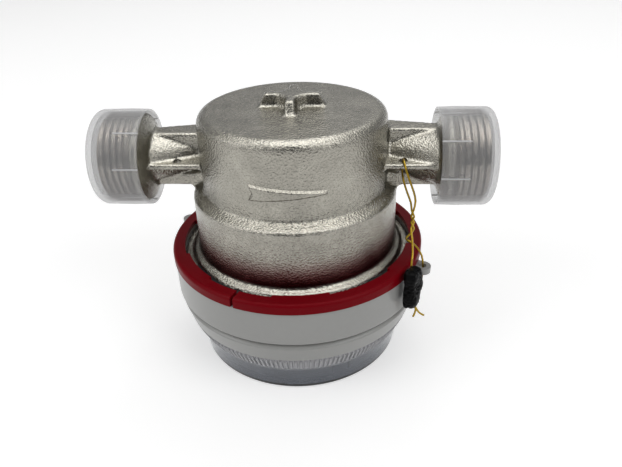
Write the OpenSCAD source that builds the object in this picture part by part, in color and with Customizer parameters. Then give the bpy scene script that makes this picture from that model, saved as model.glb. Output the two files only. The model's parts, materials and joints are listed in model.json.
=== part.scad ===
// Domestic water meter, single jet with a dry dial, standing on its dial cover.
// Millimetres. +Z is up from the cover's face, +X is the way the water flows.

/* [Casting] */
// Length over the two pipe ends
body_length = 110; // [105:1:125]
// Radius of the measuring chamber, which sets the width of the whole meter
chamber_r = 23; // [21:0.1:26]
// Wall round the chamber
chamber_wall = 4.2; // [3.6:0.1:5]
// Wall round the mouth, below the shoulder
mouth_wall = 3.9; // [3.4:0.1:4.6]
// Height of the upper cylinder, from the shoulder to the closed base
upper_h = 22.1; // [20:0.1:26]
// Height of the lower cylinder, from the mouth to the shoulder
lower_h = 21.8; // [21.8:0.1:26]
// Distance of the pipe axis below the closed base
axis_drop = 15; // [13:0.5:16]
// Thickness of the closed base
base_t = 3.5; // [2.5:0.1:4.5]
// Rounding of the base's edge
base_round = 2; // [0.5:0.1:3]
// Width of the lip above the flange
lip_w = 3.5; // [2.4:0.1:4]
// Height of the lip above the flange
lip_h = 1.6; // [1.2:0.1:2.4]
// Width of the flange that the clamp ring holds
flange_w = 1.4; // [1.2:0.1:2.4]
// Thickness of that flange
flange_t = 1.8; // [1.2:0.1:2.6]

/* [Necks] */
// Core radius of the pipe thread
thread_core_r = 12.05; // [11.5:0.05:13.5]
// Height of the pipe thread's crest over its core
thread_depth = 1.17; // [0.9:0.01:1.5]
// Length of the threaded ends
spigot_length = 13; // [11:0.5:15]
// Radius of the bore in the pipe ends
bore_r = 7.5; // [6.5:0.1:8.5]
// Radius over the ribs of a neck
rib_r = 8.2; // [7.6:0.1:9.5]
// Reach of the outlet neck's top rib over the pipe axis
outlet_rib_r = 9.7; // [7.6:0.1:11]
// Width of the top and bottom ribs at the thread
rib_w = 4; // [3:0.1:5]
// Extra width of those ribs at the body, on the jet's side
rib_spread = 3.4; // [1:0.1:4]
// Thickness of the side webs
web_t = 1.3; // [1:0.1:2.5]
// Sideways offset of the jet from the middle of the chamber
jet_offset = 6.6; // [3:0.1:8]
// Outer radius of a neck at the thread
neck_large_r = 7.4; // [6.8:0.1:8]
// Outer radius of a neck where it enters the body
neck_small_r = 4.4; // [4:0.1:6]
// Wall of a neck
neck_wall = 1.6; // [1.2:0.1:2]
// Radius of the seal holes in the webs
seal_hole_r = 1.25; // [0.8:0.05:1.5]
// Distance of the outlet side's seal hole from the upper cylinder
outlet_hole_x = 4.4; // [2:0.1:10]
// Distance of the inlet side's seal hole from the upper cylinder
inlet_hole_x = 6.4; // [2:0.1:10]
// Distance of the outlet side's seal hole from the web's edge
outlet_hole_edge = 3.2; // [2.4:0.1:4]
// Distance of the inlet side's seal hole from the web's edge
inlet_hole_edge = 2.9; // [2.4:0.1:3]

/* [Marks on the casting] */
// Length of the flow arrow
arrow_l = 20.8; // [12:0.1:26]
// Height of the flow arrow's tail
arrow_h = 4.9; // [3:0.1:7]
// Rise of the flow arrow over the wall
arrow_rise = 0.45; // [0.2:0.05:0.8]
// Span of the cross on the base
cross_span = 19.4; // [12:0.1:24]
// Width of the cross's arms
cross_w = 2.7; // [2:0.1:4]
// Height of the cross
cross_h = 3.6; // [1:0.1:4.5]
// Rounding between the cross's arms
cross_round = 2.65; // [1:0.05:4]
// Distance of the cross behind the middle of the base
cross_y = 1.85; // [-3:0.05:3]
// Slope of the ends of the cross's arms
cross_slope = 0.42; // [0:0.02:0.8]

/* [Thread caps] */
// Wall of a thread cap
cap_wall = 0.8; // [0.6:0.1:1.5]
// Clearance of a cap over the thread's crest
cap_gap = 0.18; // [0.1:0.02:0.3]
// Length of a cap
cap_length = 15.2; // [12:0.1:18]
// Thickness of a cap's closed end
cap_end_t = 1.4; // [0.8:0.1:2]
// Rounding of a cap's closed end
cap_round = 3; // [1:0.1:4]
// Grip ribs inside a cap
cap_ribs = 8; // [4:1:12]

/* [Clamp ring] */
// Overhang of the clamp ring over the housing
ring_over = 0.35; // [0.2:0.05:0.8]
// Height of the clamp ring
ring_h = 3.1; // [2.9:0.1:4]
// Thickness of its top plate
ring_plate_t = 1.4; // [1:0.1:1.5]
// Number of tabs on its inner edge
tab_count = 6; // [3:1:8]
// Angle that one tab covers
tab_angle = 26; // [15:1:40]
// Direction of the first tab
tab_first = -84; // [-180:1:180]
// Depth of the openings between the tabs
tab_depth = 0.9; // [0.6:0.1:1.2]
// Direction of the slit
slit_angle = -113; // [-180:1:180]
// Width of the slit
slit_w = 0.9; // [0.4:0.1:2]

/* [Register housing] */
// Reach of the housing beyond the casting's flange
housing_over = 3.15; // [3:0.05:5]
// Width of the housing's rim round the flange
housing_rim_w = 1.1; // [0.9:0.1:1.4]
// Height of the groove round the housing
groove_h = 0.9; // [0.4:0.1:1.2]
// Wall of the housing
housing_wall = 2.4; // [1.8:0.1:2.8]
// Height of the posts between the gear base and the housing's floor
post_h = 4.8; // [4.4:0.1:8]
// Height of the lower band, from the clear cover to the groove
band_h = 6.45; // [5.8:0.05:7]
// Step from the clear cover to the lower band's edge
band_step = 0.4; // [0.2:0.05:0.8]
// Wall of the dome and of the housing's floor
floor_t = 1.8; // [1.4:0.1:2]
// Outer radius of a seal eye
eye_r = 2.4; // [1.8:0.1:3]
// Radius of the hole in a seal eye
eye_hole_r = 1.1; // [0.7:0.1:1.3]
// Thickness of a seal eye
eye_t = 1.9; // [1.4:0.1:2.4]
// Direction of the first seal eye
eye_angle = -20.5; // [-90:0.5:90]

/* [Dial cover] */
// Step from the housing's wall to the cover's grip band
cover_step = 2.45; // [2.2:0.05:3]
// Narrowing of the grip band, from the housing to the edge above the face
grip_taper = 3.5; // [2.5:0.1:4]
// Height of that edge
edge_z = 7.35; // [6.5:0.05:8]
// Narrowing from the edge to the face
face_taper = 0.6; // [0.2:0.1:1]
// Height of the cover that shows
cover_h = 14.75; // [14.75:0.05:17]
// Thickness of the face
face_t = 2.2; // [1.6:0.1:2.4]
// Wall of the cover
cover_wall = 2; // [1.6:0.1:2.4]

/* [Chamber] */
// Thickness of the pressure plate
plate_t = 4; // [3.6:0.1:5]
// Width of the pressure plate's seat
plate_seat = 2.6; // [2.4:0.1:3]
// Thickness of the lock ring
lock_t = 3.4; // [2.6:0.1:3.6]
// Reach of the lock ring's thread beyond the pressure plate
lock_over = 0.7; // [0.5:0.1:1]

/* [Impeller] */
// Clearance of the vanes in the chamber
vane_gap = 2.5; // [1.5:0.1:5]
// Height of the vanes
vane_h = 12; // [8:0.1:12.5]
// Thickness of the vanes
vane_t = 1; // [0.8:0.1:1.6]
// Number of vanes
vane_count = 8; // [6:1:10]
// Radius of the hub
hub_r = 3.5; // [3:0.1:4.5]
// Outer radius of the two coupling magnets
magnet_r = 8; // [6:0.1:9]
// Height of the two coupling magnets
magnet_h = 4; // [3:0.1:4.5]
// Radius of the pivots and spindles
pivot_r = 0.75; // [0.6:0.05:0.9]

/* [Register train] */
// Module of the gears
gear_m = 0.35; // [0.33:0.01:0.35]
// Thickness of a gear
gear_t = 1.2; // [0.9:0.1:1.4]
// Clear height between two layers of gears
layer_gap = 0.8; // [0.6:0.1:1]
// Radius of the thin arbors
arbor_r = 0.5; // [0.4:0.05:0.6]
// Distance of the pointers from the middle of the dial
pointer_ring = 15; // [14.5:0.1:15.2]
// Angle from one pointer to the next
pointer_step = 42; // [41:0.5:44]
// Length of a pointer, from its arbor to its tip
pointer_l = 4; // [3:0.1:4.4]

/* [Counter] */
// Radius of the number wheels
drum_r = 4.3; // [4.1:0.05:4.35]
// Distance from one number wheel to the next
drum_pitch = 4.2; // [4.2:0.1:4.6]
// Number wheels in the counter
drum_count = 5; // [5]
// Distance of the counter from the middle of the dial
drum_y = -8; // [-8.4:0.1:-7.6]

/* [Dial] */
// Height of the dial's face over the cover's face
dial_z = 6; // [5.4:0.1:6.4]
// Thickness of the dial
dial_t = 1.2; // [1:0.1:1.6]
// Thickness of the frame behind the dial
frame_t = 1.5; // [1.2:0.1:2]

/* [Seal] */
// Radius of the seal wire
wire_r = 0.3; // [0.2:0.05:0.4]
// Width, depth and height of the crimped seal
seal_size = [6, 3.6, 12.6];

/* [Hidden] */
$fn = 96;

// Clearances: pressed pieces, running fits, pieces that lie loose in a seat
press = 0.02;
running = 0.05;
loose = 0.2;
// Overlap of joined shapes and overshoot of cuts
sink = 0.5;

// Radii, from the chamber outwards
upper_r = chamber_r + chamber_wall;
plate_r = chamber_r + plate_seat;
lock_r = plate_r + lock_over;
mouth_r = lock_r + loose;
lower_r = mouth_r + mouth_wall;
lip_r = lower_r + lip_w;
flange_r = lip_r + flange_w;
housing_r = flange_r + housing_over;
ring_r = housing_r + ring_over;
cover_r = housing_r - cover_step;
band_r = cover_r + band_step;
edge_r = cover_r - grip_taper;
face_r = edge_r - face_taper;
dome_r = lock_r - 5.3;
vane_r = chamber_r - vane_gap;

// Register frame and layers of gears, from the dial upwards
frame_z = dial_z + dial_t;
frame_top_z = frame_z + frame_t;
frame_r = edge_r - cover_wall - 1.7;
drum_gap = 0.5;
drum_z = frame_z + drum_gap + drum_r;
arm_t = 1;
arm_z = drum_z + drum_r + 0.2;
layer_z = [for (i = [0:2]) arm_z + arm_t + 0.5 + i * (gear_t + layer_gap)];
base_plate_t = 2;
base_plate_z = layer_z[2] + gear_t + layer_gap;
column_r = 1.8;
column_ring = frame_r - column_r - 0.3;
column_angles = [2, 140, 250];
screw_r = 0.9;
stud_r = 0.6;
screw_head_r = 1.7;
screw_head_h = 1;
pointer_z = dial_z - 1.6;
pointer_t = 0.7;

// Heights of the housing and the casting, from the gear base upwards
groove_z = cover_h + band_h;
mouth_z = base_plate_z + base_plate_t + post_h + floor_t;
flange_top_z = mouth_z + flange_t;
lip_z = flange_top_z + lip_h;
shoulder_z = mouth_z + lower_h;
base_z = shoulder_z + upper_h;
axis_z = base_z - axis_drop;
chamber_top_z = base_z - base_t;
ring_z = flange_top_z + 0.1 + ring_plate_t - ring_h;
ring_top_z = ring_z + ring_h;
floor_z = mouth_z - floor_t;

// Casting
shoulder_cove = 0.8;
shoulder_round = 1.5;
lip_cove = 1.2;
lip_round = 0.7;
rib_cove = 1.6;
spigot_x = body_length / 2 - spigot_length;
thread_r = thread_core_r + thread_depth;
end_x = body_length / 2;
bore_step = 2;
neck_x = upper_r - 3.2;
outlet_hole = [upper_r + outlet_hole_x, outlet_hole_edge - rib_r];
inlet_hole = [-upper_r - inlet_hole_x, inlet_hole_edge - rib_r];
neck_tilt = atan2(jet_offset, spigot_x - neck_x);
neck_l = norm([jet_offset, spigot_x - neck_x]);

// Chamber, plate and lock ring
plate_top_z = axis_z - vane_h / 2 - 5.5;
plate_z = plate_top_z - plate_t;
lock_z = plate_z - lock_t;
recess_depth = plate_t - 1.5;
o_ring_t = 0.68;
o_ring_r = (chamber_r + plate_r) / 2;
pivot_boss_h = 2.5;
hub_top_z = chamber_top_z - pivot_boss_h - 2;
hub_z = axis_z - vane_h / 2 - 1;
magnet_z = plate_top_z - 0.8;
stub_r = 2.2;
bush_r = 1.8;
bush_h = 2.4;
plate_bush_r = 2;

// Dome of the register housing, under the pressure plate
dome_top_z = plate_z - 0.4;
dome_wall = 1.6;
dome_boss_h = 1.8;

// Teeth of the gear pairs: follower to first wheel, first wheel through the reversing wheel to
// the first pointer, pointer to idler, idler to next pointer, last pointer to crown arbor
follower_teeth = [8, 40];
first_teeth = [8, 12];
reverse_teeth = [12, 32];
idler_in = [10, 30];
idler_out = [9, 30];
crown_in = [12, 60];
// Teeth of the crown, of the number wheels and of the carry pinions
crown_teeth = 10;
drum_teeth = 20;
carry_teeth = 8;

// Share of a tooth's pitch that is filled at its tip, middle and root, and its heights in modules
tip_fill = 0.17;
mid_fill = 0.40;
root_fill = 0.62;
addendum = 0.75;
dedendum = 1.15;

function pitch_r(teeth) = gear_m * teeth / 2;
function centres(pair) = pitch_r(pair[0]) + pitch_r(pair[1]);
function polar(r, a) = [r * cos(a), r * sin(a)];
function bearing(from, to) = atan2(to[1] - from[1], to[0] - from[0]);
function arc(c, r, a0, a1, n = 5) = [for (i = [0:n]) c + polar(r, a0 + (a1 - a0) * i / n)];

// Point at distance da from a and db from b, on the left side of the line from a to b
function apex(a, b, da, db) =
    let (d = norm(b - a), u = (da * da - db * db + d * d) / (2 * d), v = sqrt(da * da - u * u))
    a + (b - a) / d * u + [a[1] - b[1], b[0] - a[0]] / d * v;

// Counter: a drum has a carry disc, a figure rim and a gear, and the pinions sit between the rims
carry_w = 0.8;
rim_w = 2.3;
drum_gear_w = 0.9;
drum_w = carry_w + rim_w + drum_gear_w;
carry_axis_angle = 45;
carry_d = centres([carry_teeth, drum_teeth]);
carry_at = [drum_y - carry_d * cos(carry_axis_angle), drum_z + carry_d * sin(carry_axis_angle)];
carry_tip_r = pitch_r(carry_teeth) + addendum * gear_m;
axle_r = 0.8;
carry_axle_r = 0.4;
function drum_x(i) = ((drum_count + 1) / 2 - i) * drum_pitch;
units_gear_x = drum_x(1) + drum_w / 2 - drum_gear_w / 2;
crown_x = units_gear_x + pitch_r(crown_teeth);
crown_at = [crown_x, drum_y];
bracket_t = 1.5;
bracket_right_x = drum_x(1) + drum_w / 2 + 0.3;
bracket_left_x = drum_x(drum_count) - drum_w / 2 - 0.3 - bracket_t;

// Places of the arbors. Pointer 1 is the fastest and pointer 4, in mesh with the crown, the slowest.
pointer_first = bearing([0, 0], apex([0, 0], crown_at, pointer_ring, centres(crown_in)));
pointer_at = [for (i = [0:3]) polar(pointer_ring, pointer_first + (3 - i) * pointer_step)];
first_at = polar(centres(follower_teeth), pointer_first + 3 * pointer_step + 40);
reverse_at = apex(first_at, pointer_at[0], centres(first_teeth), centres(reverse_teeth));
idler_at = [for (i = [0:2])
    apex(pointer_at[i], pointer_at[i + 1], centres(idler_in), centres(idler_out))];

// Clear cover and dial
skirt_r = cover_r - 1.4;
skirt_z = groove_z - 1.7;
gasket_t = 1.1;
cover_inner_r = edge_r - cover_wall;
dial_r = face_r - cover_wall - 0.3;
dial_rim = 1.3;
rim_notch = 5.4;
rim_notch_angle = -62;

// Route of the seal wire. The low points start from the seal eye's hole, the high ones from the hole
// in the web: from one end through the seal, up through the web, down round the first strand,
// through the eye and back through the seal to the other end.
eye_ring = housing_r + eye_r - 0.2;
eye_at = [eye_ring * cos(eye_angle), eye_ring * sin(eye_angle), ring_z];
web_at = [outlet_hole[0], outlet_hole[1], axis_z];
seal_at = eye_at + [-3.2, -7.4, -1.8];
wire_up = [
    [-2.7, -7.3, -13.3], [-2.1, -7.5, -10.8], [-2.7, -7.3, -7.8], [-3.9, -6.9, -1.8], [-4.1, -6.5, 4.2],
    [-3.7, -4.3, 7], [-3.7, -1.1, 9.6]
];
wire_web = [
    [2.5, -8.2, -16.7], [3.3, -7.5, -15.1], [2.5, -6.9, -13.5], [3.1, -6.5, -11.7], [3.5, -6, -9.1],
    [2.9, -5.4, -6.5], [1.6, -4.6, -3.2], [0.4, -4.2, 0.2], [0, -2.4, 1.5], [0, 0, 1.1], [-0.1, 0.4, -0.5],
    [-0.2, -0.2, -2.1], [-0.2, -2.6, -2.7], [0.1, -4.4, -3.9], [1, -5.3, -6.5], [2.2, -6.2, -9.5],
    [2.5, -6.9, -11.7], [3.3, -7.2, -13.5], [2.5, -7.6, -15.1], [3.3, -8.2, -16.7]
];
wire_down = [
    [-4.1, 0.7, 10.4], [-5.4, 0.3, 8.9], [-3.6, 0.1, 7.8], [-1.9, 0, 6], [-0.5, 0, 3.4], [0, 0, 0.6],
    [0.1, -0.3, -2.2], [-0.5, -2.3, -3.8], [-1.9, -5.5, -2.6], [-2.7, -7.7, -3.8], [-2.9, -8.3, -7.3],
    [-1.8, -7.9, -10.3], [-0.8, -7.3, -12], [0.5, -6.5, -13.4]
];
wire_route = concat(
    [for (q = wire_up) eye_at + q],
    [for (q = wire_web) web_at + q],
    [for (q = wire_down) eye_at + q]
);
wire_sides = 8;
wire_steps = 2;

// Gear blank with teeth, the first tooth in the direction of phase
module gear_outline(teeth, phase) {
    step = 360 / teeth;
    mid_r = pitch_r(teeth);
    tip_r = mid_r + addendum * gear_m;
    root_r = mid_r - dedendum * gear_m;
    polygon([for (i = [0:teeth - 1], p = [
        [root_r, -root_fill], [mid_r, -mid_fill], [tip_r, -tip_fill],
        [tip_r, tip_fill], [mid_r, mid_fill], [root_r, root_fill]
    ]) polar(p[0], phase + step * (i + p[1] / 2))]);
}

// Direction of a tooth of a gear whose mate, seen in direction from the mate, has a tooth at phase
function mesh_phase(direction, teeth, mate_teeth, mate_phase) =
    direction + 180 + ((direction - mate_phase) * mate_teeth + 180) / teeth;

// Gear in a layer: a driver shows a tooth towards its mate, a driven gear shows a gap
module gear(at, mate, teeth, layer, driven) {
    phase = bearing(at, mate) + (driven ? 180 / teeth : 0);
    translate([at[0], at[1], layer_z[layer]]) linear_extrude(gear_t) gear_outline(teeth, phase);
}

// Shaft between two heights
module shaft(at, r, low, high) {
    translate([at[0], at[1], low]) cylinder(r = r, h = high - low);
}

// Thin arbor with its pivots in the two plates and a thicker middle
module arbor(at, low) {
    shaft(at, arbor_r, low, base_plate_z + base_plate_t - 0.2);
    shaft(at, arbor_r + 0.35, frame_top_z + loose, base_plate_z - loose);
}

// Solid of revolution about the pipe axis from points of distance along X and radius
module pipe_revolve(points) {
    translate([0, 0, axis_z]) rotate([90, 0, 90]) rotate_extrude() polygon([for (p = points) [p[1], p[0]]]);
}

// Outer form of the casting's cup
module cup_outside() {
    rotate_extrude() polygon(concat(
        [[0, base_z]],
        arc([upper_r - base_round, base_z - base_round], base_round, 90, 0),
        arc([upper_r + shoulder_cove, shoulder_z + shoulder_cove], shoulder_cove, 180, 270),
        arc([lower_r - shoulder_round, shoulder_z - shoulder_round], shoulder_round, 90, 0),
        arc([lower_r + lip_cove, lip_z + lip_cove], lip_cove, 180, 270),
        arc([lip_r - lip_round, lip_z - lip_round], lip_round, 90, 0),
        [[lip_r, flange_top_z], [flange_r, flange_top_z], [flange_r, mouth_z], [0, mouth_z]]
    ));
}

// Inside of the cup: mouth, plate seat, chamber
module cup_inside() {
    rotate_extrude() polygon([
        [0, mouth_z - sink], [mouth_r, mouth_z - sink], [mouth_r, plate_z], [plate_r + loose, plate_z],
        [plate_r + loose, plate_top_z], [chamber_r, plate_top_z], [chamber_r, chamber_top_z],
        [0, chamber_top_z]
    ]);
}

// Tapered tube from the thread towards the jet
module neck_cone(r1, r2, start) {
    translate([spigot_x, 0, axis_z]) rotate([0, 0, -neck_tilt]) translate([start, 0, 0])
        rotate([0, -90, 0]) cylinder(r1 = r1, r2 = r2, h = neck_l + start);
}

// Top and bottom ribs of a neck: a plan that widens to the jet's side, cut to the side outline
module neck_ribs(top_r) {
    inner_x = upper_r - 3;
    slope = rib_spread / (spigot_x - upper_r);
    wide = rib_w / 2 + slope * (spigot_x - inner_x);
    low_z = axis_z - rib_r;
    intersection() {
        translate([0, 0, low_z - rib_cove]) linear_extrude(rib_r + top_r + rib_cove) polygon([
            [inner_x, -rib_w / 2], [spigot_x + sink, -rib_w / 2],
            [spigot_x + sink, rib_w / 2], [inner_x, wide]
        ]);
        translate([0, 2 * rib_r, 0]) rotate([90, 0, 0]) linear_extrude(4 * rib_r) polygon(concat(
            [[inner_x, axis_z + top_r], [spigot_x + sink, axis_z + top_r], [spigot_x + sink, low_z]],
            arc([lower_r + rib_cove, low_z - rib_cove], rib_cove, 90, 180),
            [[inner_x, low_z - rib_cove]]
        ));
    }
}

// Flat webs at both sides of a neck
module neck_webs() {
    inner_x = upper_r - 6;
    translate([inner_x, -rib_r, axis_z - web_t / 2]) cube([spigot_x + sink - inner_x, 2 * rib_r, web_t]);
}

// One pipe end on the +X side, with the reach of its top rib
module pipe_end(top_r) {
    chamfer = 0.8;
    neck_cone(neck_large_r, neck_small_r, 0);
    neck_ribs(top_r);
    neck_webs();
    pipe_revolve([
        [spigot_x, 0], [spigot_x, thread_core_r - chamfer], [spigot_x + chamfer, thread_core_r],
        [end_x - chamfer, thread_core_r], [end_x, thread_core_r - chamfer], [end_x, 0]
    ]);
}

// Bore and jet passage of one pipe end on the +X side
module pipe_bore() {
    pipe_revolve([
        [spigot_x + bore_step, 0], [spigot_x + bore_step, bore_r],
        [end_x + sink, bore_r], [end_x + sink, 0]
    ]);
    neck_cone(neck_large_r - neck_wall, neck_small_r - neck_wall, bore_step + sink);
    translate([spigot_x, 0, axis_z]) rotate([0, 0, -neck_tilt]) rotate([0, -90, 0])
        translate([0, 0, neck_l - sink]) cylinder(r = neck_small_r - neck_wall, h = 6);
}

// Raised flow arrow with a notched tail, on the front of the upper cylinder
module flow_arrow() {
    tip_h = arrow_h * 0.25;
    notch = arrow_h * 0.25;
    half = arrow_l / 2;
    intersection() {
        translate([0, 0, axis_z - arrow_h]) cylinder(r = upper_r + arrow_rise, h = 2 * arrow_h);
        translate([0, 0, axis_z + 0.8]) rotate([90, 0, 0]) linear_extrude(upper_r + 2) polygon([
            [-half, arrow_h / 2], [half - 0.4, tip_h / 2], [half, 0], [half - 0.4, -tip_h / 2],
            [-half, -arrow_h / 2], [-half + notch, 0]
        ]);
    }
}

// Raised cross on the base, with coves between its arms and sloping ends
module base_cross() {
    half = cross_w / 2;
    mid = half + cross_round;
    translate([0, cross_y, base_z]) intersection() {
        translate([0, 0, -sink]) linear_extrude(cross_h + sink) polygon([
            for (q = [0:3],
                 p = concat([[cross_span, -half], [cross_span, half]],
                            arc([mid, mid], cross_round, 270, 180)))
                polar(norm(p), atan2(p[1], p[0]) + 90 * q)
        ]);
        translate([0, 0, -sink])
            cylinder(r1 = cross_span / 2 + sink * cross_slope,
                     r2 = cross_span / 2 - cross_h * cross_slope, h = cross_h + sink);
    }
}

module meter_body() {
    color("silver") difference() {
        union() {
            cup_outside();
            pipe_end(outlet_rib_r);
            mirror([1, 0, 0]) pipe_end(rib_r);
            flow_arrow();
            base_cross();
        }
        difference() {
            cup_inside();
            translate([0, 0, chamber_top_z - pivot_boss_h]) cylinder(r = 3, h = pivot_boss_h + sink);
        }
        pipe_bore();
        mirror([1, 0, 0]) pipe_bore();
        for (at = [outlet_hole, inlet_hole])
            shaft(at, seal_hole_r, axis_z - rib_r, axis_z + rib_r);
        shaft([0, 0], pivot_r + press, chamber_top_z - pivot_boss_h - sink, chamber_top_z + 1.5);
    }
}

// Perforated basket in the inlet bore, against the step
module inlet_strainer() {
    r = bore_r - 0.1;
    low_x = -spigot_x - bore_step - 3;
    hole_pitch = 2.4;
    color("whitesmoke") difference() {
        pipe_revolve([
            [low_x, r - 1], [low_x, r], [low_x + 3, r], [low_x + 3, 0], [low_x + 2, 0], [low_x + 2, r - 1]
        ]);
        for (i = [-2:2], j = [-2:2])
            if (norm([i, j]) < 2.5)
                translate([low_x, i * hole_pitch, axis_z + j * hole_pitch])
                    rotate([0, 90, 0]) cylinder(r = 0.75, h = 4);
    }
}

module pivot_pin() {
    color("gainsboro") shaft([0, 0], pivot_r, hub_top_z - bush_h + 0.4, chamber_top_z + 1.5);
}

module impeller() {
    color("ivory") difference() {
        union() {
            shaft([0, 0], hub_r, hub_z, hub_top_z);
            shaft([0, 0], stub_r, magnet_z, hub_z + sink);
            for (i = [0:vane_count - 1])
                rotate(i * 360 / vane_count) translate([hub_r - sink, -vane_t / 2, axis_z - vane_h / 2])
                    cube([vane_r - hub_r + sink, vane_t, vane_h]);
        }
        shaft([0, 0], bush_r + press, hub_top_z - bush_h, hub_top_z + sink);
        shaft([0, 0], pivot_r + press, magnet_z - sink, hub_z + 4);
    }
}

module impeller_bush() {
    color("firebrick") difference() {
        shaft([0, 0], bush_r, hub_top_z - bush_h, hub_top_z);
        shaft([0, 0], pivot_r + running, hub_top_z - bush_h + 0.2, hub_top_z + sink);
    }
}

module impeller_spindle() {
    color("gainsboro") shaft([0, 0], pivot_r, plate_top_z - recess_depth - 0.3, hub_z + 4);
}

module drive_magnet() {
    color("dimgray") difference() {
        shaft([0, 0], magnet_r, magnet_z, magnet_z + magnet_h);
        shaft([0, 0], stub_r + press, magnet_z - sink, magnet_z + magnet_h + sink);
    }
}

module pressure_plate() {
    recess_z = plate_top_z - recess_depth;
    groove = o_ring_t + 0.05;
    color("burlywood") difference() {
        shaft([0, 0], plate_r, plate_z, plate_top_z);
        shaft([0, 0], magnet_r + 2, recess_z, plate_top_z + sink);
        shaft([0, 0], plate_bush_r + press, recess_z - 0.9, plate_top_z);
        translate([0, 0, plate_top_z - 2 * o_ring_t]) difference() {
            cylinder(r = o_ring_r + groove, h = 2 * o_ring_t + sink);
            cylinder(r = o_ring_r - groove, h = 2 * o_ring_t + sink);
        }
    }
}

module plate_bush() {
    low = plate_top_z - recess_depth - 0.9;
    color("firebrick") difference() {
        shaft([0, 0], plate_bush_r, low, low + 2);
        shaft([0, 0], pivot_r + running, low + 0.4, low + 2 + sink);
    }
}

module plate_o_ring() {
    color("black") translate([0, 0, plate_top_z - o_ring_t]) rotate_extrude()
        translate([o_ring_r, 0]) circle(r = o_ring_t - press, $fn = 32);
}

module lock_ring() {
    inner_r = dome_r + 0.7;
    slot_w = 4;
    color("goldenrod") difference() {
        shaft([0, 0], lock_r, lock_z, plate_z);
        shaft([0, 0], inner_r, lock_z - sink, plate_z + sink);
        for (i = [0:3])
            rotate(45 + i * 90) translate([inner_r - sink, -slot_w / 2, lock_z - sink])
                cube([2.4, slot_w, lock_t / 2 + sink]);
    }
}

// Thread cap on the +X side: a cup with thin grip ribs inside
module thread_cap() {
    inner_r = thread_r + cap_gap;
    outer_r = inner_r + cap_wall;
    close_x = end_x + 0.6;
    out_x = close_x + cap_end_t;
    rim_x = out_x - cap_length;
    inner_round = cap_round - cap_wall;
    color("whitesmoke", 0.6) {
        pipe_revolve(concat(
            [[rim_x, inner_r], [rim_x, outer_r]],
            [for (p = arc([out_x - cap_round, outer_r - cap_round], cap_round, 90, 0)) p],
            [[out_x, 0], [close_x, 0]],
            [for (p = arc([close_x - inner_round, inner_r - inner_round], inner_round, 0, 90)) p]
        ));
        for (i = [0:cap_ribs - 1])
            translate([rim_x, 0, axis_z]) rotate([360 / cap_ribs * (i + 0.5), 0, 0])
                translate([0, -0.25, inner_r - cap_gap / 2]) cube([cap_length / 2, 0.5, cap_wall]);
    }
}

module outlet_cap() {
    thread_cap();
}

module inlet_cap() {
    mirror([1, 0, 0]) thread_cap();
}

module clamp_ring() {
    round_r = 1;
    skirt_in = flange_r + housing_rim_w + loose;
    tab_r = lip_r + 0.3;
    under_z = ring_top_z - ring_plate_t;
    color("darkred") difference() {
        rotate_extrude() polygon(concat(
            [[tab_r, under_z], [skirt_in, under_z], [skirt_in, ring_z], [ring_r, ring_z]],
            arc([ring_r - round_r, ring_top_z - round_r], round_r, 0, 90),
            [[tab_r, ring_top_z]]
        ));
        for (i = [0:tab_count - 1])
            rotate(tab_first + i * 360 / tab_count + tab_angle / 2)
                rotate_extrude(angle = 360 / tab_count - tab_angle)
                    translate([tab_r - sink, under_z - sink])
                        square([tab_depth + sink, ring_plate_t + 2 * sink]);
        rotate(slit_angle) translate([tab_r - sink, -slit_w / 2, ring_z - sink])
            cube([ring_r - tab_r + 2, slit_w, ring_h + 2 * sink]);
    }
}

// Eye on the housing's rim for the seal wire
module seal_eye() {
    translate([0, 0, ring_z - eye_t]) {
        translate([eye_ring, 0, 0]) cylinder(r = eye_r, h = eye_t);
        translate([housing_r - housing_wall / 2, -eye_r, 0])
            cube([eye_ring - housing_r + housing_wall / 2, 2 * eye_r, eye_t]);
    }
}

module register_housing() {
    edge_round = 1.3;
    band_round = 1.6;
    upper_z = groove_z + groove_h / 2;
    band_top_z = groove_z - groove_h / 2;
    groove_r = housing_r - 2.4;
    rim_r = flange_r + housing_rim_w;
    rim_z = ring_top_z - ring_plate_t - loose;
    ledge_z = skirt_z + gasket_t;
    ledge_r = skirt_r - 1.6;
    post_angles = [50, 160, 275];
    color("lightgray") {
        difference() {
            union() {
                rotate_extrude() polygon(concat(
                    [[0, dome_top_z], [dome_r, dome_top_z], [dome_r, mouth_z], [flange_r + loose, mouth_z]],
                    [[flange_r + loose, rim_z], [rim_r, rim_z], [rim_r, ring_z], [housing_r, ring_z]],
                    arc([housing_r - edge_round, upper_z + edge_round], edge_round, 0, -90),
                    [[groove_r, upper_z], [groove_r, band_top_z]],
                    arc([housing_r - 0.6 - band_round, band_top_z - band_round], band_round, 90, 20),
                    [[band_r, cover_h], [skirt_r + loose, cover_h]],
                    [[skirt_r + loose, ledge_z], [ledge_r, ledge_z]],
                    [[ledge_r, ledge_z + 1.6]],
                    [[housing_r - housing_wall, ledge_z + 1.6 + housing_wall / 2]],
                    [[housing_r - housing_wall, floor_z], [dome_r - dome_wall, floor_z]],
                    [[dome_r - dome_wall, dome_top_z - dome_wall], [0, dome_top_z - dome_wall]]
                ));
                for (side = [0, 180])
                    rotate(eye_angle + side) seal_eye();
                for (a = post_angles)
                    rotate(a) shaft([column_ring - 0.5, 0], 2, floor_z - post_h, floor_z + sink);
                shaft([0, 0], 2, dome_top_z - dome_wall - dome_boss_h, dome_top_z - sink);
            }
            for (side = [0, 180])
                rotate(eye_angle + side)
                    shaft([eye_ring, 0], eye_hole_r, ring_z - eye_t - sink, ring_z + sink);
            shaft([0, 0], pivot_r + running,
                  dome_top_z - dome_wall - dome_boss_h - sink, dome_top_z - dome_wall);
        }
    }
}

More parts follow.
